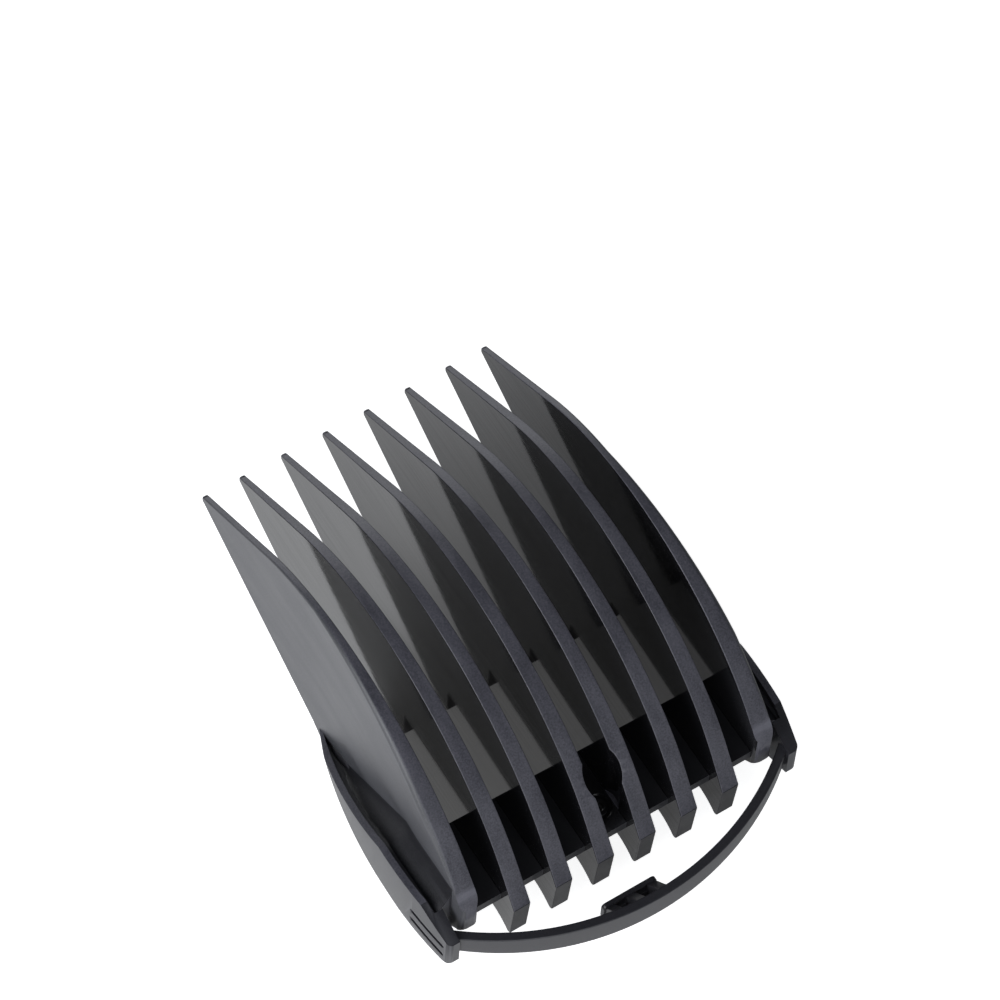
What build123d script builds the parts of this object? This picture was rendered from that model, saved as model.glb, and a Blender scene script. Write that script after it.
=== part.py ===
from build123d import *
from math import cos, radians, sin, sqrt, tan
import os

# Guide comb that clips on the head of a hair clipper, in millimetres.
# X runs across the comb, Y from the bow to the tooth tips and Z from the rest plane to the skin side.
# The origin is in the middle of the comb's footprint on the rest plane.
# Values that end in _back are distances behind the tooth tips.

# Comb plates
inner_teeth = 6
tooth_pitch = 6.0
tooth_length = 64.6
tip_height = 18.0
tip_thickness = 0.8
root_thickness = 2.4
tip_radius = 0.5
tip_corner_radius = 0.3

# Skin edge of a plate: a straight rise from the tip, a crown arc and a straight fall to the tail
skin_rise_angle = 31.0
skin_rise_length = 18.0
skin_fall_angle = 58.0
skin_fall_least = 2.0
tail_height = 11.2

# Lower edge of a plate: a straight fall from the tip, the foot, the step, the blade seat and the nose
inner_fall_angle = 30.0
foot_length = 2.3
seat_height = 5.1
nose_length = 3.9
nose_height = 3.5
nose_hollow = 0.35
nose_radius = 0.5
tail_undercut = 0.5
tail_radius = 0.35

# Side walls, the outermost plates
wall_gap = 4.9
wall_waist_thickness = 1.0
wall_root_thickness = 2.6
wall_setback = 1.8
heel_height = 9.4
heel_run = 4.0
wall_end_radius = 1.0

# Cross web between the plates, with the round gate mark and the relief in the plates beside it
web_top = 11.2
web_thickness = 1.6
web_length = 11.1
web_setback = 2.9
gate_setback = 6.4
gate_ring_radius = 1.7
gate_ring_width = 0.5
gate_dimple_radius = 0.6
gate_depth = 0.25
relief_radius = 2.45

# Side arms: a wing that curves out from the side wall, with a rim along its outer face
arm_standoff = 3.7
arm_tuck_in = 1.0
arm_thickness = 1.5
arm_point_height = 2.4
arm_level_length = 7.9
arm_tail_length = 2.2
arm_rise_run = 13.0
arm_end_bottom = 6.0
arm_end_top = 10.9
arm_end_radius = 0.8
arm_root_gap = 2.4
belly_height = 5.5
belly_slope = 14.0
rim_top = 13.8
rim_lip = 1.2
rim_thickness = 0.9
rim_rise_angle = 26.0
rim_drop_run = 5.5

# Concave flare from the arm's floor up the side wall
flare_start_run = 7.0
flare_front_height = 0.3
flare_rear_height = 4.4
flare_root_depth = 0.6
flare_floor_gap = 0.7
flare_spans = 5

# Finger grooves in the arm's outer face
groove_width = 0.75
groove_depth = 0.45
groove_drop = 1.6
groove_pitch = 2.2
groove_end_gap = 1.0
groove_length = 6.4

# Sprung bow behind the teeth
bow_root_gap = 1.8
bow_thickness = 1.2
bow_drop = 0.4
bow_height = 3.4
bow_belly = 0.9

# Catch on the inner side of the bow
catch_offset = -1.8
catch_gap = 3.25
catch_wall_thickness = 0.7
catch_drop = 2.6
catch_wall_height = 2.8
catch_wall_overhang = 0.25
catch_floor_thickness = 0.8
catch_rib_pitch = 3.0
catch_rib_thickness = 1.2
catch_rib_length = 2.25
catch_rib_drop = 0.4
catch_corner_radius = 0.6

# Places that follow from the sizes
wall_end_back = tooth_length - wall_setback
web_rear_back = tooth_length - web_setback
web_front_back = web_rear_back - web_length
gate_back = tooth_length - gate_setback
flare_end_back = wall_end_back - arm_root_gap
bow_root_back = flare_end_back + bow_root_gap
arm_end_back = bow_root_back + arm_tail_length
arm_level_back = flare_end_back - arm_level_length
rim_drop_back = arm_end_back - rim_drop_run
catch_wall_back = tooth_length + catch_gap
bow_inner_back = catch_wall_back + catch_wall_thickness + catch_rib_length
overall_length = bow_inner_back + bow_thickness
outer_tooth_x = (inner_teeth - 1) / 2 * tooth_pitch
wall_inner_x = outer_tooth_x + wall_gap
arm_outer_x = wall_inner_x + wall_root_thickness + arm_standoff
arm_clear_x = arm_outer_x + arm_thickness
arm_end_x = arm_outer_x - arm_tuck_in
arm_inner_x = arm_end_x - arm_thickness
bow_top = arm_end_top - bow_drop
bow_bottom = bow_top - bow_height
catch_bottom = bow_bottom - catch_drop
bow_sagitta = bow_inner_back - bow_root_back
bow_inner_radius = (arm_inner_x ** 2 + bow_sagitta ** 2) / (2 * bow_sagitta)
tip_wedge = radians(skin_rise_angle + inner_fall_angle)
tip_tilt = radians(skin_rise_angle - inner_fall_angle) / 2
point_back = tip_radius - tip_radius / sin(tip_wedge / 2) * cos(tip_tilt)
foot_back = point_back + tip_height / tan(radians(inner_fall_angle))
step_back = foot_back + foot_length
arm_point_back = foot_back - arm_point_height / tan(radians(inner_fall_angle))
rim_level_back = arm_point_back + (rim_top - arm_point_height) / tan(radians(rim_rise_angle))
flare_start_back = arm_point_back + flare_start_run
headroom = tip_height + tooth_length


def at(back):
    """Y of a place at a distance behind the tooth tips."""
    return overall_length / 2 - back


bow_centre = Pos(0, at(bow_inner_back) + bow_inner_radius)


def slab(plan, bottom, top):
    """Prism of a plan outline between two heights."""
    return extrude(Pos(0, 0, bottom) * plan, amount=top - bottom, dir=(0, 0, 1))


def side_prism(profile, half_width):
    """Prism of a side outline, drawn in Y and Z, to both sides of the middle plane."""
    return extrude(Plane.YZ * profile, amount=half_width, both=True)


def half_tooth(back):
    """Half the thickness of an inner comb plate, which thickens from the tip to the tail."""
    share = back / tooth_length
    return (tip_thickness + (root_thickness - tip_thickness) * share) / 2


def flank_x(back):
    """X of the right side wall's outer flank, which spreads along the arm up to its widest place."""
    if back < arm_point_back:
        front, rear = tip_thickness, wall_waist_thickness
        share = back / arm_point_back
    else:
        front, rear = wall_waist_thickness, wall_root_thickness
        share = min((back - arm_point_back) / (arm_level_back - arm_point_back), 1)
    return wall_inner_x + front + (rear - front) * share


def plate_profile():
    """Side outline of a comb plate, with the rounded tip, the blade seat and the nose."""
    tip = Vector(at(point_back), tip_height)
    tail = Vector(at(tooth_length), tail_height)
    rise = Vector(-cos(radians(skin_rise_angle)), sin(radians(skin_rise_angle)))
    climb = Vector(cos(radians(skin_fall_angle)), sin(radians(skin_fall_angle)))
    across = tail - tip
    turn = rise.X * climb.Y - rise.Y * climb.X
    rise_to_peak = (across.X * climb.Y - across.Y * climb.X) / turn
    climb_to_peak = (across.X * rise.Y - across.Y * rise.X) / turn
    crown_reach = min(rise_to_peak - skin_rise_length, climb_to_peak - skin_fall_least)
    crown_start = tip + rise * (rise_to_peak - crown_reach)
    crown_end = tail + climb * (climb_to_peak - crown_reach)
    nose_end = Vector(at(tooth_length - tail_undercut), nose_height)
    seat_end = Vector(at(tooth_length - nose_length), seat_height)
    hollow = (seat_end + nose_end) / 2 + Vector(0, nose_hollow)
    outline = [
        Line(tip, crown_start),
        TangentArc(crown_start, crown_end, tangent=rise),
        Polyline(crown_end, tail, nose_end),
        ThreePointArc(nose_end, hollow, seat_end),
        Polyline(
            seat_end,
            (at(step_back), seat_height),
            (at(step_back), 0),
            (at(foot_back), 0),
            tip,
        ),
    ]
    face = make_face(Curve() + outline)
    for corner, radius in ((tip, tip_radius), (tail, tail_radius), (nose_end, nose_radius)):
        face = fillet(face.vertices().sort_by_distance(corner)[0], radius)
    return face


def tooth_plan():
    """Plan of an inner comb plate."""
    plan = Polygon(
        (half_tooth(0), at(0)),
        (-half_tooth(0), at(0)),
        (-half_tooth(tooth_length), at(tooth_length)),
        (half_tooth(tooth_length), at(tooth_length)),
        align=None,
    )
    return fillet(plan.vertices().group_by(Axis.Y)[-1], tip_corner_radius)


def wall_plan():
    """Plan of the right side wall: a flat inner flank, a spreading outer flank and a rounded end."""
    plan = Polygon(
        (flank_x(0), at(0)),
        (wall_inner_x, at(0)),
        (wall_inner_x, at(wall_end_back)),
        (flank_x(wall_end_back), at(wall_end_back)),
        (flank_x(arm_level_back), at(arm_level_back)),
        (flank_x(arm_point_back), at(arm_point_back)),
        align=None,
    )
    plan = fillet(plan.vertices().group_by(Axis.Y)[0], wall_end_radius)
    return fillet(plan.vertices().group_by(Axis.Y)[-1], tip_corner_radius)


def heel():
    """Cutter that lifts the lower edges of the side walls and of the arms' roots at their rear ends."""
    heel_back = wall_end_back - heel_run
    profile = Polygon(
        (at(heel_back), 0),
        (at(heel_back), seat_height),
        (at(wall_end_back), heel_height),
        (at(overall_length), heel_height),
        (at(overall_length), 0),
        align=None,
    )
    return side_prism(profile, arm_inner_x)


def plates():
    """Comb plates by node name: the two side walls and the inner teeth between them."""
    blade = side_prism(plate_profile(), arm_outer_x)
    right_wall = (blade & slab(wall_plan(), 0, headroom)) - heel()
    parts = {"left_side_wall": mirror(right_wall, about=Plane.YZ), "right_side_wall": right_wall}
    tooth = blade & slab(tooth_plan(), 0, headroom)
    relief = slab(Pos(0, at(gate_back)) * Circle(relief_radius), web_top, headroom)
    for number in range(inner_teeth):
        x = number * tooth_pitch - outer_tooth_x
        parts[f"comb_tooth_{number + 1}"] = Pos(x, 0, 0) * tooth - relief
    return parts


def web_panel(number):
    """One panel of the cross web, which fits between the flanks of two neighbouring plates."""
    corners = []
    for back in (web_front_back, web_rear_back):
        left = (number - 1) * tooth_pitch - outer_tooth_x + half_tooth(back)
        right = number * tooth_pitch - outer_tooth_x - half_tooth(back)
        if number == 0:
            left = -wall_inner_x
        if number == inner_teeth:
            right = wall_inner_x
        corners.append((left, right, at(back)))
    (front_left, front_right, front_y), (rear_left, rear_right, rear_y) = corners
    plan = Polygon(
        (front_right, front_y),
        (front_left, front_y),
        (rear_left, rear_y),
        (rear_right, rear_y),
        align=None,
    )
    return slab(plan, web_top - web_thickness, web_top)


def gate_mark():
    """Cutter of the round gate mark: a ring and a dimple in the web's top."""
    ring = Circle(gate_ring_radius) - Circle(gate_ring_radius - gate_ring_width)
    mark = Pos(0, at(gate_back)) * (ring + Circle(gate_dimple_radius))
    return slab(mark, web_top - gate_depth, web_top)


def arm_floor(back):
    """Height of the floor between the arm's rim and the side wall, a lip below the rim."""
    rise = (min(back, rim_level_back) - arm_point_back) * tan(radians(rim_rise_angle))
    return arm_point_height + rise - rim_lip


def arm_sweep_radius():
    """Radius of the arm's outward curve, which ends along Y where the arm is widest."""
    run = arm_level_back - arm_point_back
    spread = arm_outer_x - flank_x(arm_point_back)
    return (run ** 2 + spread ** 2) / (2 * spread)


def arm_outer(back):
    """X of the right arm's outer face, up to where the arm is widest."""
    run = max(arm_level_back - back, 0)
    radius = arm_sweep_radius()
    return arm_outer_x - radius + sqrt(radius ** 2 - run ** 2)


def arm_shadow(inset):
    """Plan of all that lies inside the right arm's outer face, moved in by an inset."""
    start = (flank_x(arm_point_back) - inset, at(arm_point_back))
    widest = (arm_outer_x - inset, at(arm_level_back))
    end = (arm_end_x - inset, at(arm_end_back))
    outline = [
        TangentArc(widest, start, tangent=(0, 1)),
        TangentArc(widest, end, tangent=(0, -1)),
        Polyline(end, (0, at(arm_end_back)), (0, at(arm_point_back)), start),
    ]
    return make_face(Curve() + outline)


def arm_side():
    """Side outline of an arm: a point on the plate's lower edge, a rising rim and a rising belly."""
    return make_face(Polyline(
        (at(foot_back), 0),
        (at(arm_point_back), arm_point_height),
        (at(rim_level_back), rim_top),
        (at(rim_drop_back), rim_top),
        (at(arm_end_back), arm_end_top),
        (at(arm_end_back), arm_end_bottom),
        (at(arm_end_back - arm_rise_run), 0),
        close=True,
    ))


def trough_side():
    """Side outline of the trough between the rim and the side wall."""
    return make_face(Polyline(
        (at(arm_point_back), arm_floor(arm_point_back)),
        (at(rim_level_back), arm_floor(rim_level_back)),
        (at(flare_end_back), arm_floor(flare_end_back)),
        (at(flare_end_back), headroom),
        (at(arm_point_back), headroom),
        close=True,
    ))


def arm_room():
    """Plan of the room beside the right side wall and behind it that the arm may fill."""
    front = arm_point_back - arm_thickness
    rear = arm_end_back + arm_thickness
    return Polygon(
        (flank_x(front), at(front)),
        (flank_x(arm_point_back), at(arm_point_back)),
        (flank_x(arm_level_back), at(arm_level_back)),
        (flank_x(flare_end_back), at(flare_end_back)),
        (arm_inner_x, at(flare_end_back)),
        (arm_inner_x, at(rear)),
        (arm_clear_x, at(rear)),
        (arm_clear_x, at(front)),
        align=None,
    )


def flare():
    """Concave moulding that runs from the right arm's floor up the side wall's outer flank."""
    ramp = rim_level_back - flare_start_back
    backs = [flare_start_back + ramp * span / flare_spans for span in range(flare_spans + 1)]
    sections = []
    for back in backs + [arm_level_back, flare_end_back]:
        share = min((back - flare_start_back) / ramp, 1)
        rise = flare_front_height + (flare_rear_height - flare_front_height) * share
        root = Vector(flank_x(back), arm_floor(back))
        spread = arm_outer(back) - rim_thickness - flare_floor_gap - root.X
        crest = root + Vector(0, rise)
        toe = root + Vector(spread, 0)
        sunk = Vector(0, -flare_root_depth)
        outline = [TangentArc(crest, toe, tangent=(0, -1)), Polyline(toe, toe + sunk, root + sunk, crest)]
        upright = Plane((0, at(back), 0), x_dir=(1, 0, 0), z_dir=(0, -1, 0))
        sections.append(upright * make_face(Curve() + outline))
    return loft(sections, ruled=True)


def arm_grooves():
    """Cutter of the two lengthwise grooves near the rear end of the right arm's outer face."""
    middle = at(arm_end_back - groove_end_gap - groove_length / 2)
    cutter = None
    for drop in (groove_drop, groove_drop + groove_pitch):
        slot_plane = Plane((0, middle, arm_end_top - drop), x_dir=(0, 1, 0), z_dir=(1, 0, 0))
        slot = extrude(slot_plane * SlotOverall(groove_length, groove_width), amount=arm_clear_x)
        cutter = slot if cutter is None else cutter + slot
    return cutter - slab(arm_shadow(groove_depth), 0, headroom)


def arm():
    """Right side arm: the wing beside the wall with its trough, its flare and its grooves."""
    foot = arm_shadow(belly_height * tan(radians(belly_slope)))
    belly = loft([foot, Pos(0, 0, belly_height) * arm_shadow(0)], ruled=True)
    upper = slab(arm_shadow(0), belly_height, headroom)
    end_corner = (arm_end_x, at(arm_end_back), belly_height)
    upper = fillet(upper.edges().filter_by(Axis.Z).sort_by_distance(end_corner)[0], arm_end_radius)
    wing = (belly + upper) & side_prism(arm_side(), arm_clear_x)
    wing = wing & slab(arm_room(), -arm_thickness, headroom)
    trough = slab(arm_shadow(rim_thickness), 0, headroom) & side_prism(trough_side(), arm_clear_x)
    return wing - trough + flare() - arm_grooves() - heel()


def bow():
    """Sprung band between the arms' inner faces, a little deeper in the middle."""
    band = bow_centre * (Circle(bow_inner_radius + bow_thickness) - Circle(bow_inner_radius))
    window = Pos(0, at(overall_length)) * Rectangle(2 * arm_inner_x, 2 * bow_inner_radius)
    outline = [
        ThreePointArc((-arm_inner_x, bow_bottom), (0, bow_bottom - bow_belly), (arm_inner_x, bow_bottom)),
        Polyline((arm_inner_x, bow_bottom), (arm_inner_x, bow_top), (-arm_inner_x, bow_top),
                 (-arm_inner_x, bow_bottom)),
    ]
    elevation = extrude(Plane.XZ * make_face(Curve() + outline), amount=overall_length, both=True)
    return slab(band & window, bow_bottom - bow_belly, bow_top) & elevation


def catch_strip(middle, width):
    """Plan of a strip that runs from the catch wall back to the bow's inner face."""
    front = at(catch_wall_back + catch_wall_thickness)
    strip = Pos(middle, front - catch_rib_length) * Rectangle(width, 2 * catch_rib_length)
    return strip & bow_centre * Circle(bow_inner_radius)


def catch_wall():
    """Upright wall of the catch, which the clipper's blade snaps over, with the floor behind it."""
    width = 2 * (catch_rib_pitch + catch_wall_overhang) + catch_rib_thickness
    middle = at(catch_wall_back + catch_wall_thickness / 2)
    plan = Pos(catch_offset, middle) * Rectangle(width, catch_wall_thickness)
    wall = slab(plan, catch_bottom, catch_bottom + catch_wall_height)
    crown = wall.edges().filter_by(Axis.Y).group_by(Axis.Z)[-1]
    floor = slab(catch_strip(catch_offset, width), catch_bottom, catch_bottom + catch_floor_thickness)
    return fillet(crown, catch_corner_radius) + floor


def catch_rib(step):
    """Gusset that rises from the catch wall to the bow's inner face, a step from the middle one."""
    front = at(catch_wall_back + catch_wall_thickness)
    rear = front - 2 * catch_rib_length
    bottom = catch_bottom + catch_floor_thickness
    profile = Polygon(
        (front, bottom),
        (front, catch_bottom + catch_wall_height),
        (at(bow_inner_back), bow_top - catch_rib_drop),
        (rear, bow_top - catch_rib_drop),
        (rear, bottom),
        align=None,
    )
    plan = catch_strip(catch_offset + step, catch_rib_thickness)
    return slab(plan, bottom, bow_top) & side_prism(profile, arm_outer_x)


def build():
    """All pieces of the comb by node name."""
    parts = plates()
    for number in range(inner_teeth + 1):
        parts[f"cross_web_{number + 1}"] = web_panel(number) - gate_mark()
    parts["left_arm"] = mirror(arm(), about=Plane.YZ)
    parts["right_arm"] = arm()
    parts["bow"] = bow()
    parts["catch_wall"] = catch_wall()
    parts["catch_rib_left"] = catch_rib(-catch_rib_pitch)
    parts["catch_rib_middle"] = catch_rib(0)
    parts["catch_rib_right"] = catch_rib(catch_rib_pitch)
    return parts


os.makedirs("parts", exist_ok=True)
for name, solid in build().items():
    export_step(solid, f"parts/{name}.step")
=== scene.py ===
"""Looks of a clip-on guide comb of a hair clipper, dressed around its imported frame."""

import logging
import math
from dataclasses import dataclass
from enum import Enum

import bpy
from mathutils import Matrix, Vector


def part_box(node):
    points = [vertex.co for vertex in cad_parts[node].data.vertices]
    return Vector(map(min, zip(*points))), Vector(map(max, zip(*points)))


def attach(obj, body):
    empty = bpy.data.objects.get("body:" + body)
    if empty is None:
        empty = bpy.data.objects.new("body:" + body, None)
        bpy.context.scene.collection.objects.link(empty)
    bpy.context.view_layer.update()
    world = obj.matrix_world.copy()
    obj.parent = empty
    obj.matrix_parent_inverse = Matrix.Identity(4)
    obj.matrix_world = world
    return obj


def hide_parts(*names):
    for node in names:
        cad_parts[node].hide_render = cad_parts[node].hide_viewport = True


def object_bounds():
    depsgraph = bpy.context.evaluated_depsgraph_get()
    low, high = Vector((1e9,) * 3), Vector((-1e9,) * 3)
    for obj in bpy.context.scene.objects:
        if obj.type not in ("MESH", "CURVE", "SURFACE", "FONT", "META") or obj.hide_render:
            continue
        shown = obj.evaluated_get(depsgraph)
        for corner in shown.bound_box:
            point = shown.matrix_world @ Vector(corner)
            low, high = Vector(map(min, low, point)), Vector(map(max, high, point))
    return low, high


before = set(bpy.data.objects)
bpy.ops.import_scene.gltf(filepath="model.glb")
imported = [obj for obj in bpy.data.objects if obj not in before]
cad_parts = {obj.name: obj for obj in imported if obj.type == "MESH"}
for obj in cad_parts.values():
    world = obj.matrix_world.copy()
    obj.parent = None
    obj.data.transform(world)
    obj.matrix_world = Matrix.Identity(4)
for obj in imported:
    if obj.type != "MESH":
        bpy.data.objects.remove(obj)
CAD_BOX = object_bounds()

LOG = logging.getLogger("guide_comb")
MM = 0.001

Span = tuple[float, float]
Stops = tuple[Span, ...]
Triple = tuple[float, float, float]
Colour = tuple[float, float, float, float]


class Body(Enum):
    """The moving bodies of the frame that the pieces ride on."""

    COMB = "comb"
    BOW = "bow"


class Side(Enum):
    """The two sides of the comb, each with its sign of X."""

    LEFT = -1.0
    RIGHT = 1.0

    @property
    def word(self) -> str:
        """Name of the side, as the names of the solids spell it."""
        return self.name.lower()


@dataclass(frozen=True)
class PlasticFinish:
    """One surface finish of the black moulding, by the texture of the mould that made it, or
    darkened to paint shade.

    Attributes:
        name: Name of the material.
        deep: Colour in the pits of the texture.
        raised: Colour on the tops of the texture.
        worn_and_highlit: Lighter colour along edges, partly from wear and partly a painted
            highlight along them.
        smooth: Lowest roughness.
        rough: Highest roughness.
        grain_size: Size of a grain in metres.
        grain_depth: Depth of the grain in metres.
        streak_size: Size of a streak across X, Y and Z in metres.
        streak_depth: Depth of the streaks in metres.
        ior: Index of refraction.
        shine: Lowest and highest level of the sheen along the streaks.
        grain_detail: Octaves of the grain.
        grain_crispness: Strength of the finer octaves of the grain.
        grain_share: Share of the grain in the colour, of which the streaks have the rest.
        streak_detail: Octaves of the streaks.
        streak_span: Strengths of the streaks between which values wander.
        tone_span: Heights of the texture between which the colour runs from deep to raised.
        wear_and_highlight_span: Pointiness between which an edge goes from no wear and no painted
            highlight to the most of both.
        wear_and_highlight_most: Share of the edge colour, for wear and painted highlight, on the
            sharpest edges.
    """

    name: str
    deep: Colour
    raised: Colour
    # lighter colour along convex edges: wear, and a painted highlight
    worn_and_highlit: Colour
    smooth: float
    rough: float
    grain_size: float
    grain_depth: float
    streak_size: Triple
    streak_depth: float
    ior: float = 1.5
    shine: Span = (0.46, 0.54)
    grain_detail: float = 3.0
    grain_crispness: float = 0.6
    grain_share: float = 0.7
    streak_detail: float = 4.0
    streak_span: Span = (0.3, 0.7)
    tone_span: Span = (0.36, 0.64)
    wear_and_highlight_span: Span = (0.54, 0.70)
    wear_and_highlight_most: float = 0.6

    def material(self) -> bpy.types.Material:
        """Makes the material, or gives back the one that is there.

        Returns:
            The material of this finish.
        """
        made = bpy.data.materials.get(self.name)
        if made is not None:
            return made
        made = bpy.data.materials.new(self.name)
        made.use_nodes = True
        tree = made.node_tree
        shader = tree.nodes["Principled BSDF"]
        shader.inputs["IOR"].default_value = self.ior
        place = tree.nodes.new("ShaderNodeTexCoord")
        grain = self._grain(tree, place)
        streaks = self._streaks(tree, place)
        roughness = self._spread(tree, streaks, (self.smooth, self.rough))
        sheen = self._spread(tree, streaks, self.shine)
        tree.links.new(self._colour(tree, grain, streaks), shader.inputs["Base Color"])
        tree.links.new(roughness, shader.inputs["Roughness"])
        tree.links.new(sheen, shader.inputs["Specular IOR Level"])
        tree.links.new(self._relief(tree, grain, streaks), shader.inputs["Normal"])
        return made

    def _grain(self, tree: bpy.types.NodeTree, place: bpy.types.Node) -> bpy.types.NodeSocket:
        """Fine grain of the mould's spark-eroded or blasted face.

        Args:
            tree: Node tree of the material.
            place: Texture Coordinate node.

        Returns:
            Height of the grain, from 0 to 1.
        """
        noise = tree.nodes.new("ShaderNodeTexNoise")
        noise.inputs["Scale"].default_value = 1 / self.grain_size
        noise.inputs["Detail"].default_value = self.grain_detail
        noise.inputs["Roughness"].default_value = self.grain_crispness
        tree.links.new(place.outputs["Object"], noise.inputs["Vector"])
        return noise.outputs["Fac"]

    def _streaks(self, tree: bpy.types.NodeTree, place: bpy.types.Node) -> bpy.types.NodeSocket:
        """Long faint streaks of polishing and of the plastic's flow.

        Args:
            tree: Node tree of the material.
            place: Texture Coordinate node.

        Returns:
            Strength of the streaks, from 0 to 1.
        """
        stretch = tree.nodes.new("ShaderNodeMapping")
        stretch.inputs["Scale"].default_value = [1 / size for size in self.streak_size]
        noise = tree.nodes.new("ShaderNodeTexNoise")
        noise.inputs["Scale"].default_value = 1.0
        noise.inputs["Detail"].default_value = self.streak_detail
        tree.links.new(place.outputs["Object"], stretch.inputs["Vector"])
        tree.links.new(stretch.outputs["Vector"], noise.inputs["Vector"])
        return noise.outputs["Fac"]

    def _colour(
        self,
        tree: bpy.types.NodeTree,
        grain: bpy.types.NodeSocket,
        streaks: bpy.types.NodeSocket,
    ) -> bpy.types.NodeSocket:
        """Colour that follows the grain, the streaks, and the wear of the edges with a painted
        highlight along them.

        Args:
            tree: Node tree of the material.
            grain: Height of the grain.
            streaks: Strength of the streaks.

        Returns:
            The colour.
        """
        both = tree.nodes.new("ShaderNodeMath")
        both.operation = "MULTIPLY_ADD"
        both.inputs[1].default_value = self.grain_share
        tree.links.new(grain, both.inputs[0])
        share = tree.nodes.new("ShaderNodeMath")
        share.operation = "MULTIPLY"
        share.inputs[1].default_value = 1 - self.grain_share
        tree.links.new(streaks, share.inputs[0])
        tree.links.new(share.outputs[0], both.inputs[2])
        ramp = tree.nodes.new("ShaderNodeValToRGB")
        tones = (self.deep, self.raised)
        for stop, height, tone in zip(ramp.color_ramp.elements, self.tone_span, tones):
            stop.position = height
            stop.color = tone
        tree.links.new(both.outputs[0], ramp.inputs["Fac"])
        # Convex edges turn lighter: partly wear, partly a painted highlight along them.
        shape = tree.nodes.new("ShaderNodeNewGeometry")
        edge = tree.nodes.new("ShaderNodeMapRange")
        edge.inputs["From Min"].default_value = self.wear_and_highlight_span[0]
        edge.inputs["From Max"].default_value = self.wear_and_highlight_span[1]
        edge.inputs["To Max"].default_value = self.wear_and_highlight_most
        tree.links.new(shape.outputs["Pointiness"], edge.inputs["Value"])
        worn = tree.nodes.new("ShaderNodeMix")
        worn.data_type = "RGBA"
        worn.inputs["B"].default_value = self.worn_and_highlit
        tree.links.new(edge.outputs["Result"], worn.inputs["Factor"])
        tree.links.new(ramp.outputs["Color"], worn.inputs["A"])
        return worn.outputs["Result"]

    def _spread(
        self, tree: bpy.types.NodeTree, streaks: bpy.types.NodeSocket, limits: Span
    ) -> bpy.types.NodeSocket:
        """Value that wanders along the streaks.

        Args:
            tree: Node tree of the material.
            streaks: Strength of the streaks.
            limits: Lowest and highest value.

        Returns:
            The value.
        """
        spread = tree.nodes.new("ShaderNodeMapRange")
        for end, strength, limit in zip(("Min", "Max"), self.streak_span, limits):
            spread.inputs[f"From {end}"].default_value = strength
            spread.inputs[f"To {end}"].default_value = limit
        tree.links.new(streaks, spread.inputs["Value"])
        return spread.outputs["Result"]

    def _relief(
        self,
        tree: bpy.types.NodeTree,
        grain: bpy.types.NodeSocket,
        streaks: bpy.types.NodeSocket,
    ) -> bpy.types.NodeSocket:
        """Relief of the grain on top of the relief of the streaks.

        Args:
            tree: Node tree of the material.
            grain: Height of the grain.
            streaks: Strength of the streaks.

        Returns:
            The normal.
        """
        wave = tree.nodes.new("ShaderNodeBump")
        wave.inputs["Distance"].default_value = self.streak_depth
        tree.links.new(streaks, wave.inputs["Height"])
        pits = tree.nodes.new("ShaderNodeBump")
        pits.inputs["Distance"].default_value = self.grain_depth
        tree.links.new(grain, pits.inputs["Height"])
        tree.links.new(wave.outputs["Normal"], pits.inputs["Normal"])
        return pits.outputs["Normal"]


GRAINED = PlasticFinish(
    name="grained_black_plastic",
    deep=(0.036, 0.036, 0.046, 1.0),
    raised=(0.082, 0.081, 0.100, 1.0),
    worn_and_highlit=(0.15, 0.15, 0.18, 1.0),
    smooth=0.36,
    rough=0.50,
    grain_size=0.22 * MM,
    grain_depth=0.012 * MM,
    streak_size=(1.5 * MM, 6.0 * MM, 6.0 * MM),
    streak_depth=0.004 * MM,
)
POLISHED = PlasticFinish(
    name="polished_black_plastic",
    deep=(0.0035, 0.0035, 0.0042, 1.0),
    raised=(0.0065, 0.0065, 0.0076, 1.0),
    worn_and_highlit=(0.050, 0.050, 0.057, 1.0),
    smooth=0.03,
    rough=0.09,
    grain_size=0.30 * MM,
    grain_depth=0.0006 * MM,
    streak_size=(3.0 * MM, 16.0 * MM, 0.30 * MM),
    streak_depth=0.0008 * MM,
    shine=(0.34, 0.62),
)
SATIN = PlasticFinish(
    name="satin_black_plastic",
    deep=(0.014, 0.014, 0.018, 1.0),
    raised=(0.024, 0.024, 0.029, 1.0),
    worn_and_highlit=(0.090, 0.090, 0.100, 1.0),
    smooth=0.30,
    rough=0.38,
    grain_size=0.20 * MM,
    grain_depth=0.004 * MM,
    streak_size=(20.0 * MM, 30.0 * MM, 12.0 * MM),
    streak_depth=0.001 * MM,
)
BLASTED = PlasticFinish(
    name="blasted_black_plastic",
    deep=(0.037, 0.038, 0.043, 1.0),
    raised=(0.067, 0.068, 0.077, 1.0),
    worn_and_highlit=(0.090, 0.090, 0.100, 1.0),
    smooth=0.34,
    rough=0.44,
    grain_size=0.16 * MM,
    grain_depth=0.004 * MM,
    streak_size=(5.0 * MM, 14.0 * MM, 3.0 * MM),
    streak_depth=0.002 * MM,
)
# Darker and less reflective than the moulding's own finishes: painted shade on the tails, the
# web's rear edges, the flares and their beads.
PAINTED_SHADE = PlasticFinish(
    name="painted_shade_black_plastic",
    deep=(0.008, 0.008, 0.010, 1.0),
    raised=(0.017, 0.017, 0.020, 1.0),
    worn_and_highlit=(0.050, 0.050, 0.057, 1.0),
    smooth=0.38,
    rough=0.48,
    grain_size=0.20 * MM,
    grain_depth=0.003 * MM,
    streak_size=(6.0 * MM, 9.0 * MM, 6.0 * MM),
    streak_depth=0.001 * MM,
    ior=1.3,
)


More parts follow.
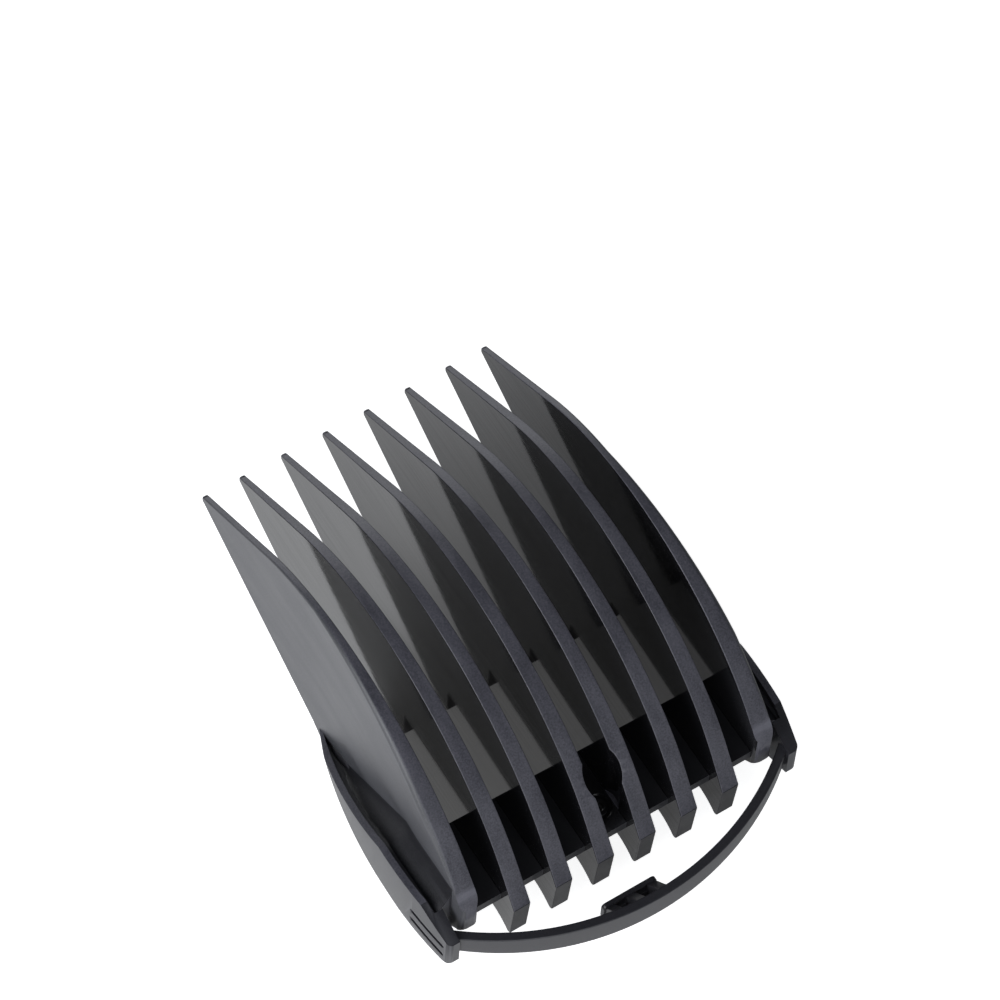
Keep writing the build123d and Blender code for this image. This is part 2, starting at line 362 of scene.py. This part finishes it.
def pick(piece: bpy.types.Object) -> None:
    """Leaves one object selected and active.

    Args:
        piece: The object that the next operators act on.
    """
    bpy.ops.object.select_all(action="DESELECT")
    piece.select_set(True)
    bpy.context.view_layer.objects.active = piece


def between(stops: Stops, place: float) -> float:
    """Value at a place between stops.

    Args:
        stops: Places in rising order, each with its value.
        place: The place.

    Returns:
        The value, which runs straight from stop to stop and is level beyond the ends.
    """
    for (start, low), (end, high) in zip(stops, stops[1:]):
        if place < end:
            share = max(place - start, 0.0) / (end - start)
            return low + (high - low) * share
    return stops[-1][1]


@dataclass
class Moulding:
    """A group of solids of the frame, dressed with rounded edges and mould finishes.

    Attributes:
        body: Body that the pieces ride on.
        nodes: Names of the solids.
        edge_width: Width of the rounding along free edges, in metres.
        finishes: Finishes of the pieces, the usual one first.
        widest: Width of the widest rounding, in metres.
        sharp_angle: Least angle between two faces of an edge that is rounded, in degrees.
        smooth_angle: Greatest angle between two faces that are shaded as one, in degrees.
        flat_angle: Greatest angle between two triangles of one flat face, in degrees.
        merge_distance: Greatest distance between corners that are one, in metres.
        steps: Faces across a rounding.
        clamped: Whether roundings shrink where they would run into each other.
    """

    body: Body
    nodes: tuple[str, ...]
    edge_width: float
    finishes: tuple[PlasticFinish, ...]
    widest: float = 1.2 * MM
    sharp_angle: float = 34.0
    smooth_angle: float = 50.0
    flat_angle: float = 0.3
    merge_distance: float = 0.001 * MM
    steps: int = 2
    clamped: bool = True

    def meets_neighbour(self, node: str, middle: Vector) -> bool:
        """Tells whether an edge lies on a face that touches another solid, and so stays sharp."""
        return False

    def rounding(self, node: str, middle: Vector, normals: list[Vector]) -> float:
        """Width of the rounding of an edge.

        Args:
            node: Name of the solid.
            middle: Middle of the edge.
            normals: Normals of the two faces that meet at the edge.

        Returns:
            The width in metres, which is zero where the edge stays sharp.
        """
        return 0.0 if self.meets_neighbour(node, middle) else self.edge_width

    def finish_of(self, normal: Vector, centre: Vector) -> PlasticFinish:
        """Finish of a face, by its normal and its centre."""
        return self.finishes[0]

    def build(self) -> list[bpy.types.Object]:
        """Dresses every solid of the group.

        Returns:
            The dressed pieces.
        """
        return [self._dress(node) for node in self.nodes]

    def _dress(self, node: str) -> bpy.types.Object:
        """Makes the dressed copy of one solid, which stands for it.

        Args:
            node: Name of the solid.

        Returns:
            The dressed piece.
        """
        piece = bpy.data.objects.new(f"{node}_moulding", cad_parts[node].data.copy())
        bpy.context.scene.collection.objects.link(piece)
        pick(piece)
        self._merge()
        self._round_edges(node, piece)
        self._smooth(piece)
        self._paint(piece)
        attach(piece, self.body.value)
        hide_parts(node)
        LOG.info("%s stands for %s on %s", piece.name, node, self.body.value)
        return piece

    def _merge(self) -> None:
        """Joins the loose triangles of the picked piece into whole faces."""
        bpy.ops.object.mode_set(mode="EDIT")
        bpy.ops.mesh.select_mode(type="EDGE")
        bpy.ops.mesh.select_all(action="SELECT")
        bpy.ops.mesh.remove_doubles(threshold=self.merge_distance)
        bpy.ops.mesh.dissolve_limited(angle_limit=math.radians(self.flat_angle))
        bpy.ops.object.mode_set(mode="OBJECT")

    def _round_edges(self, node: str, piece: bpy.types.Object) -> None:
        """Rounds the free sharp edges of the picked piece.

        Args:
            node: Name of the solid.
            piece: The picked piece.
        """
        bpy.ops.object.mode_set(mode="EDIT")
        bpy.ops.mesh.select_all(action="DESELECT")
        bpy.ops.mesh.edges_select_sharp(sharpness=math.radians(self.sharp_angle))
        bpy.ops.object.mode_set(mode="OBJECT")
        mesh = piece.data
        beside: dict[tuple[int, int], list[Vector]] = {}
        for face in mesh.polygons:
            for key in face.edge_keys:
                beside.setdefault(key, []).append(face.normal.copy())
        weights = mesh.attributes.new("bevel_weight_edge", "FLOAT", "EDGE")
        for edge in mesh.edges:
            if edge.select:
                ends = [mesh.vertices[index].co for index in edge.vertices]
                width = self.rounding(node, (ends[0] + ends[1]) / 2, beside[edge.key])
                weights.data[edge.index].value = width / self.widest
        rounding = piece.modifiers.new("rounding", "BEVEL")
        rounding.width = self.widest
        rounding.segments = self.steps
        rounding.limit_method = "WEIGHT"
        rounding.use_clamp_overlap = self.clamped
        bpy.ops.object.modifier_apply(modifier="rounding")

    def _smooth(self, piece: bpy.types.Object) -> None:
        """Shades the picked piece smooth, with the large faces kept flat.

        Args:
            piece: The picked piece.
        """
        bpy.ops.object.shade_smooth()
        bpy.ops.object.mode_set(mode="EDIT")
        bpy.ops.mesh.select_all(action="DESELECT")
        bpy.ops.mesh.edges_select_sharp(sharpness=math.radians(self.smooth_angle))
        bpy.ops.mesh.mark_sharp()
        bpy.ops.object.mode_set(mode="OBJECT")
        piece.modifiers.new("flat_faces", "WEIGHTED_NORMAL").keep_sharp = True
        bpy.ops.object.modifier_apply(modifier="flat_faces")

    def _paint(self, piece: bpy.types.Object) -> None:
        """Gives each face its finish.

        Args:
            piece: The piece to paint.
        """
        piece.data.materials.clear()
        for finish in self.finishes:
            piece.data.materials.append(finish.material())
        for face in piece.data.polygons:
            face.material_index = self.finishes.index(self.finish_of(face.normal, face.center))


@dataclass
class CombPlates(Moulding):
    """Comb plates: grained skin edges on polished flanks, and tails in the darker finish that
    paints their shade.

    Attributes:
        flank_turn: Least share of X in the normal of a flank.
        tail_turn: Least share of Y in the normal of a tail.
        upright: Greatest share of Z in the normal of an upright face.
        relief_reach: Reach of the gate mark's relief from the middle plane, in metres.
        relief_back: Distance of the relief behind the tooth tips, in metres.
        relief_length: Reach of the relief along the plates, in metres.
        relief_top: Height below which the relief's edges lie, in metres.
    """

    edge_width: float = 0.14 * MM
    finishes: tuple[PlasticFinish, ...] = (GRAINED, POLISHED, PAINTED_SHADE)
    flank_turn: float = 0.85
    tail_turn: float = 0.9
    upright: float = 0.3
    relief_reach: float = 2.6 * MM
    relief_back: float = 58.2 * MM
    relief_length: float = 2.0 * MM
    relief_top: float = 16.0 * MM

    def meets_neighbour(self, node: str, middle: Vector) -> bool:
        """The upright edges of the relief beside the gate mark stay sharp."""
        near = abs(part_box(node)[1].y - self.relief_back - middle.y) < self.relief_length
        return near and abs(middle.x) < self.relief_reach and middle.z < self.relief_top

    def finish_of(self, normal: Vector, centre: Vector) -> PlasticFinish:
        """Grained on the edges, polished on the flanks and in the relief, and darker on the tails
        as painted shade.
        """
        relief = abs(centre.x) < self.relief_reach and abs(normal.z) < self.upright
        if relief or abs(normal.x) > self.flank_turn:
            return POLISHED
        return PAINTED_SHADE if normal.y < -self.tail_turn else GRAINED


@dataclass
class SideWalls(Moulding):
    """Side walls: blasted outsides that round over into the grained skin edges.

    Attributes:
        flank_turn: Least share of X in the normal of a flank.
        shoulder_turn: Least share of Z in the normal of a skin edge, and of X in an outside's.
        shoulder: Widths of the outer shoulder's rounding, by distance behind the tooth tips.
        end_back: Distance behind the tooth tips from which no edge is rounded, in metres.
    """

    edge_width: float = 0.14 * MM
    finishes: tuple[PlasticFinish, ...] = (GRAINED, POLISHED, BLASTED)
    steps: int = 4
    clamped: bool = False
    flank_turn: float = 0.85
    shoulder_turn: float = 0.35
    shoulder: Stops = (
        (10.0 * MM, 0.14 * MM),
        (26.0 * MM, 0.42 * MM),
        (45.0 * MM, 0.80 * MM),
        (55.0 * MM, 0.80 * MM),
        (60.0 * MM, 0.14 * MM),
    )
    end_back: float = 60.5 * MM

    def rounding(self, node: str, middle: Vector, normals: list[Vector]) -> float:
        """Width of the rounding of an edge, which is wide on the outer shoulders."""
        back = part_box(node)[1].y - middle.y
        if back > self.end_back:
            return 0.0
        outward = any(
            normal.x * middle.x > 0 and abs(normal.x) > self.flank_turn for normal in normals
        )
        upward = any(normal.z > self.shoulder_turn for normal in normals)
        return between(self.shoulder, back) if outward and upward else self.edge_width

    def finish_of(self, normal: Vector, centre: Vector) -> PlasticFinish:
        """Grained on the edges, polished on the inner flanks and blasted outside."""
        if normal.x * centre.x > 0 and abs(normal.x) > self.shoulder_turn:
            return BLASTED
        return POLISHED if abs(normal.x) > self.flank_turn else GRAINED


@dataclass
class CrossWeb(Moulding):
    """Panels of the cross web, which run into the plates beside them.

    Attributes:
        top: Height above which the gate mark's rings lie, in metres.
        rear_turn: Least share of Y in the normal of the rear edge.
    """

    edge_width: float = 0.08 * MM
    finishes: tuple[PlasticFinish, ...] = (POLISHED, PAINTED_SHADE)
    top: float = 10.5 * MM
    rear_turn: float = 0.9

    def meets_neighbour(self, node: str, middle: Vector) -> bool:
        """Only the rings of the gate mark are rounded, as other edges run into the plates."""
        low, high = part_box(node)
        inside = low.y + self.edge_width < middle.y < high.y - self.edge_width
        return not (inside and middle.z > self.top)

    def finish_of(self, normal: Vector, centre: Vector) -> PlasticFinish:
        """Polished on top, and darker on the rear edge as painted shade."""
        return PAINTED_SHADE if normal.y < -self.rear_turn else POLISHED


@dataclass
class SideArms(Moulding):
    """Side arms that run into the side walls and carry the bow.

    Attributes:
        touch: Distance from the wall's widest place within which edges stay sharp, in metres.
        crest_turn: Least share of Z in the normal of the flare, at its crest.
        flare_lean: Least share of X in the normal of the flare.
        flare_gap: Room between the flare and the trough's rim, in metres.
        level_turn: Least share of Z in the normal of the rim's top.
        rim_lip: Depth below the rim's top within which a face belongs to it, in metres.
        rim_line: Heights of the rim's top, by distance behind the tooth tips.
        trough_rim: Reaches of the trough from the middle plane, by distance behind the tips.
    """

    edge_width: float = 0.18 * MM
    finishes: tuple[PlasticFinish, ...] = (SATIN, PAINTED_SHADE, GRAINED)
    touch: float = 0.25 * MM
    crest_turn: float = 0.005
    flare_lean: float = 0.15
    flare_gap: float = 0.1 * MM
    level_turn: float = 0.8
    rim_lip: float = 0.6 * MM
    rim_line: Stops = ((28.2 * MM, 3.2 * MM), (49.9 * MM, 13.8 * MM))
    trough_rim: Stops = (
        (29.2 * MM, 21.06 * MM),
        (34.1 * MM, 22.69 * MM),
        (38.3 * MM, 23.77 * MM),
        (42.6 * MM, 24.56 * MM),
        (47.0 * MM, 25.08 * MM),
        (49.9 * MM, 25.25 * MM),
    )

    def meets_neighbour(self, node: str, middle: Vector) -> bool:
        """Edges on the side wall's flank and beside the bow stay sharp."""
        low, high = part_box(f"{node.split('_')[0]}_side_wall")
        flank = max(abs(low.x), abs(high.x))
        return abs(middle.x) < flank + self.touch

    def finish_of(self, normal: Vector, centre: Vector) -> PlasticFinish:
        """Satin on the upright faces, grained on the rim, and darker in the flare inside it as
        painted shade of the trough.
        """
        back = CAD_BOX[1][1] - centre.y
        rim_height = between(self.rim_line, back) - self.rim_lip
        if normal.z > self.level_turn and centre.z > rim_height:
            return GRAINED
        outward = normal.x * centre.x > 0 and abs(normal.x) > self.flare_lean
        inside = abs(centre.x) < between(self.trough_rim, back) - self.flare_gap
        # The flare inside the rim gets the darker finish that paints its shade.
        return PAINTED_SHADE if outward and inside and normal.z > self.crest_turn else SATIN


@dataclass
class FlareNose:
    """Smooth bead at the front end of each arm's flare, where it runs out on the wall's flank.

    Attributes:
        half_size: Half width, half length and half height in metres.
        across: Distance of its middle from the comb's middle plane, in metres.
        back: Distance of its middle behind the tooth tips, in metres.
        height: Height of its middle, in metres.
        slope: Rise of its length towards the rear, in degrees.
        splay: Turn of its length away from the middle plane towards the rear, in degrees.
        segments: Faces around it.
        rings: Faces from pole to pole.
    """

    half_size: Triple = (0.50 * MM, 3.0 * MM, 0.78 * MM)
    across: float = 21.32 * MM
    back: float = 33.9 * MM
    height: float = 4.95 * MM
    slope: float = 26.0
    splay: float = 3.5
    segments: int = 32
    rings: int = 16

    def build(self) -> list[bpy.types.Object]:
        """Models the bead of each side.

        Returns:
            The two beads.
        """
        return [self._bead(side) for side in Side]

    def _bead(self, side: Side) -> bpy.types.Object:
        """Models one bead.

        Args:
            side: Side of the comb.

        Returns:
            The bead.
        """
        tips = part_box(f"{side.word}_side_wall")[1].y
        slope = math.radians(self.slope)
        turn = side.value * math.radians(-self.splay)
        middle = (0.0, 0.0, 0.0)
        place = (side.value * self.across, tips - self.back, self.height)
        bpy.ops.object.select_all(action="DESELECT")
        bpy.ops.mesh.primitive_uv_sphere_add(
            segments=self.segments, ring_count=self.rings, radius=1.0
        )
        bead = bpy.context.object
        bead.name = f"{side.word}_flare_nose"
        bpy.ops.object.mode_set(mode="EDIT")
        bpy.ops.mesh.select_all(action="SELECT")
        bpy.ops.transform.resize(value=self.half_size, center_override=middle)
        bpy.ops.transform.rotate(value=slope, orient_axis="X", center_override=middle)
        bpy.ops.transform.rotate(value=turn, orient_axis="Z", center_override=middle)
        bpy.ops.transform.translate(value=place)
        bpy.ops.object.mode_set(mode="OBJECT")
        bpy.ops.object.shade_smooth()
        # The bead takes the darker finish that paints the flare's shade.
        bead.data.materials.append(PAINTED_SHADE.material())
        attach(bead, Body.COMB.value)
        LOG.info("%s rides on %s", bead.name, Body.COMB.value)
        return bead


@dataclass
class SpringBow(Moulding):
    """Bow between the arms' inner faces.

    Attributes:
        touch: Distance from an end face within which edges stay sharp, in metres.
    """

    edge_width: float = 0.18 * MM
    finishes: tuple[PlasticFinish, ...] = (SATIN,)
    touch: float = 0.02 * MM

    def meets_neighbour(self, node: str, middle: Vector) -> bool:
        """The edges of the bow's two ends stay sharp."""
        low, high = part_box(node)
        return middle.x < low.x + self.touch or middle.x > high.x - self.touch


@dataclass
class BowCatch(Moulding):
    """Catch on the inner side of the bow: a wall on three ribs.

    Attributes:
        wall: Name of the wall.
        touch: Distance from a rib's front end within which edges stay sharp, in metres.
        root: Distance from a rib's end on the bow within which edges stay sharp, in metres.
    """

    edge_width: float = 0.12 * MM
    finishes: tuple[PlasticFinish, ...] = (SATIN,)
    wall: str = "catch_wall"
    touch: float = 0.02 * MM
    root: float = 1.0 * MM

    def meets_neighbour(self, node: str, middle: Vector) -> bool:
        """The edges of a rib's two ends stay sharp."""
        if node == self.wall:
            return False
        low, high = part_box(node)
        return middle.y > high.y - self.touch or middle.y < low.y + self.root


@dataclass(frozen=True)
class Softbox:
    """A square soft lamp that faces the comb.

    Attributes:
        name: Name of the lamp.
        place: Its place in metres.
        side: Its side in metres.
        power: Its power in watts.
    """

    name: str
    place: Triple
    side: float
    power: float


@dataclass
class Studio:
    """Plain pale floor, soft light and the camera at the photograph's angle.

    Attributes:
        eye: Place of the camera in metres.
        right: Direction to the right of the picture.
        up: Direction to the top of the picture.
        back: Direction from the comb to the camera.
        lens: Focal length in millimetres.
        sensor: Width of the sensor in millimetres.
        near: Distance from which the camera sees, in metres.
        floor_size: Side of the floor in metres.
        floor_drop: Depth of the floor below the comb's feet, in metres.
        floor_colour: Colour of the floor.
        floor_roughness: Roughness of the floor.
        camera_lift: Lift of the floor for rays that show it.
        painted_reflection_lift: Lifts of the floor for mirrored rays, left and right, which paint
            the comb's reflections brighter on the left than on the right.
        mirror_span: Places along X at which those lifts are reached, in metres.
        air_colour: Colour of the surroundings.
        air_strength: Strength of the light of the surroundings.
        lamp_colour: Colour of the lamps.
        lamps: The lamps.
    """

    eye: Triple = (-0.183114, -0.245786, 0.610882)
    right: Triple = (0.84184, -0.53849, 0.03649)
    up: Triple = (0.45769, 0.74809, 0.48050)
    back: Triple = (-0.28604, -0.38781, 0.87623)
    lens: float = 198.0
    sensor: float = 36.0
    near: float = 0.01
    floor_size: float = 6.0
    floor_drop: float = 0.02 * MM
    floor_colour: Colour = (0.86, 0.86, 0.86, 1.0)
    floor_roughness: float = 0.9
    camera_lift: float = 0.84
    # glow for mirrored rays only: a painted reflection, falling from left to right
    painted_reflection_lift: Span = (0.30, 0.08)
    mirror_span: Span = (-25.0 * MM, 25.0 * MM)
    air_colour: Colour = (0.80, 0.82, 0.86, 1.0)
    air_strength: float = 0.12
    lamp_colour: Triple = (0.95, 0.97, 1.0)
    lamps: tuple[Softbox, ...] = (
        Softbox("left_softbox", place=(-0.45, -0.06, 0.25), side=0.45, power=2.7),
        Softbox("rear_softbox", place=(-0.25, -0.7, 0.3), side=0.6, power=2.4),
        Softbox("front_softbox", place=(0.2, 0.8, 0.16), side=0.7, power=3.2),
    )

    def build(self) -> None:
        """Builds the floor, the surroundings, the lights and the camera."""
        self._floor()
        self._surroundings()
        for lamp in self.lamps:
            self._light(lamp)
        self._camera()

    def _floor(self) -> None:
        """Adds the floor, which keeps the shadow and shows white to the camera."""
        bpy.ops.object.select_all(action="DESELECT")
        bpy.ops.mesh.primitive_plane_add(size=self.floor_size, location=(0, 0, -self.floor_drop))
        floor = bpy.context.object
        floor.name = "floor"
        paint = bpy.data.materials.new("floor_white")
        paint.use_nodes = True
        tree = paint.node_tree
        shader = tree.nodes["Principled BSDF"]
        shader.inputs["Base Color"].default_value = self.floor_colour
        shader.inputs["Roughness"].default_value = self.floor_roughness
        shader.inputs["Specular IOR Level"].default_value = 0.0
        shader.inputs["Emission Color"].default_value = (1.0, 1.0, 1.0, 1.0)
        tree.links.new(self._seen(tree), shader.inputs["Emission Strength"])
        floor.data.materials.append(paint)

    def _seen(self, tree: bpy.types.NodeTree) -> bpy.types.NodeSocket:
        """Lifts the floor for rays that show or mirror it, and not for rays that light the comb;
        the lift for mirrored rays is a painted reflection.

        Args:
            tree: Node tree of the floor.

        Returns:
            Strength of the lift, which falls off to the right for mirrored rays, as painted light
            in the comb's reflections.
        """
        path = tree.nodes.new("ShaderNodeLightPath")
        mirrored = tree.nodes.new("ShaderNodeMath")
        mirrored.operation = "MAXIMUM"
        tree.links.new(path.outputs["Is Glossy Ray"], mirrored.inputs[0])
        tree.links.new(path.outputs["Is Transmission Ray"], mirrored.inputs[1])
        place = tree.nodes.new("ShaderNodeTexCoord")
        axes = tree.nodes.new("ShaderNodeSeparateXYZ")
        tree.links.new(place.outputs["Object"], axes.inputs["Vector"])
        # Painted reflection: mirrored rays see the floor glow brighter on the left than on the
        # right.
        painted_falloff = tree.nodes.new("ShaderNodeMapRange")
        for end, across, lift in zip(("Min", "Max"), self.mirror_span, self.painted_reflection_lift):
            painted_falloff.inputs[f"From {end}"].default_value = across
            painted_falloff.inputs[f"To {end}"].default_value = lift
        tree.links.new(axes.outputs["X"], painted_falloff.inputs["Value"])
        shown = tree.nodes.new("ShaderNodeMath")
        shown.operation = "MULTIPLY"
        shown.inputs[1].default_value = self.camera_lift
        tree.links.new(path.outputs["Is Camera Ray"], shown.inputs[0])
        both = tree.nodes.new("ShaderNodeMath")
        both.operation = "MULTIPLY_ADD"
        tree.links.new(mirrored.outputs[0], both.inputs[0])
        tree.links.new(painted_falloff.outputs["Result"], both.inputs[1])
        tree.links.new(shown.outputs[0], both.inputs[2])
        return both.outputs[0]

    def _surroundings(self) -> None:
        """Fills the surroundings with even pale light."""
        world = bpy.data.worlds.new("studio")
        bpy.context.scene.world = world
        world.use_nodes = True
        backdrop = world.node_tree.nodes["Background"]
        backdrop.inputs["Color"].default_value = self.air_colour
        backdrop.inputs["Strength"].default_value = self.air_strength

    def _light(self, lamp: Softbox) -> None:
        """Adds a lamp.

        Args:
            lamp: The lamp.
        """
        data = bpy.data.lights.new(lamp.name, "AREA")
        data.size = lamp.side
        data.energy = lamp.power
        data.color = self.lamp_colour
        light = bpy.data.objects.new(lamp.name, data)
        light.location = lamp.place
        light.rotation_euler = (-Vector(lamp.place)).to_track_quat("-Z", "Y").to_euler()
        bpy.context.scene.collection.objects.link(light)

    def _camera(self) -> None:
        """Adds the camera that the photograph was taken from."""
        data = bpy.data.cameras.new("camera")
        data.lens = self.lens
        data.sensor_width = self.sensor
        data.clip_start = self.near
        camera = bpy.data.objects.new("camera", data)
        turn = Matrix((self.right, self.up, self.back)).transposed().to_4x4()
        camera.matrix_world = Matrix.Translation(self.eye) @ turn
        bpy.context.scene.collection.objects.link(camera)
        bpy.context.scene.camera = camera


def main() -> None:
    """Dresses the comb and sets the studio."""
    logging.basicConfig(level=logging.INFO)
    bpy.context.scene.view_settings.view_transform = "Standard"
    names = sorted(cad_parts)
    plates = tuple(name for name in names if name.startswith("comb_tooth"))
    walls = tuple(name for name in names if name.endswith("_side_wall"))
    webs = tuple(name for name in names if name.startswith("cross_web"))
    arms = tuple(name for name in names if name.endswith("_arm"))
    catch = tuple(name for name in names if name.startswith("catch_"))
    CombPlates(Body.COMB, plates).build()
    SideWalls(Body.COMB, walls).build()
    CrossWeb(Body.COMB, webs).build()
    SideArms(Body.COMB, arms).build()
    FlareNose().build()
    SpringBow(Body.BOW, ("bow",)).build()
    BowCatch(Body.BOW, catch).build()
    Studio().build()


if __name__ == "__main__":
    main()
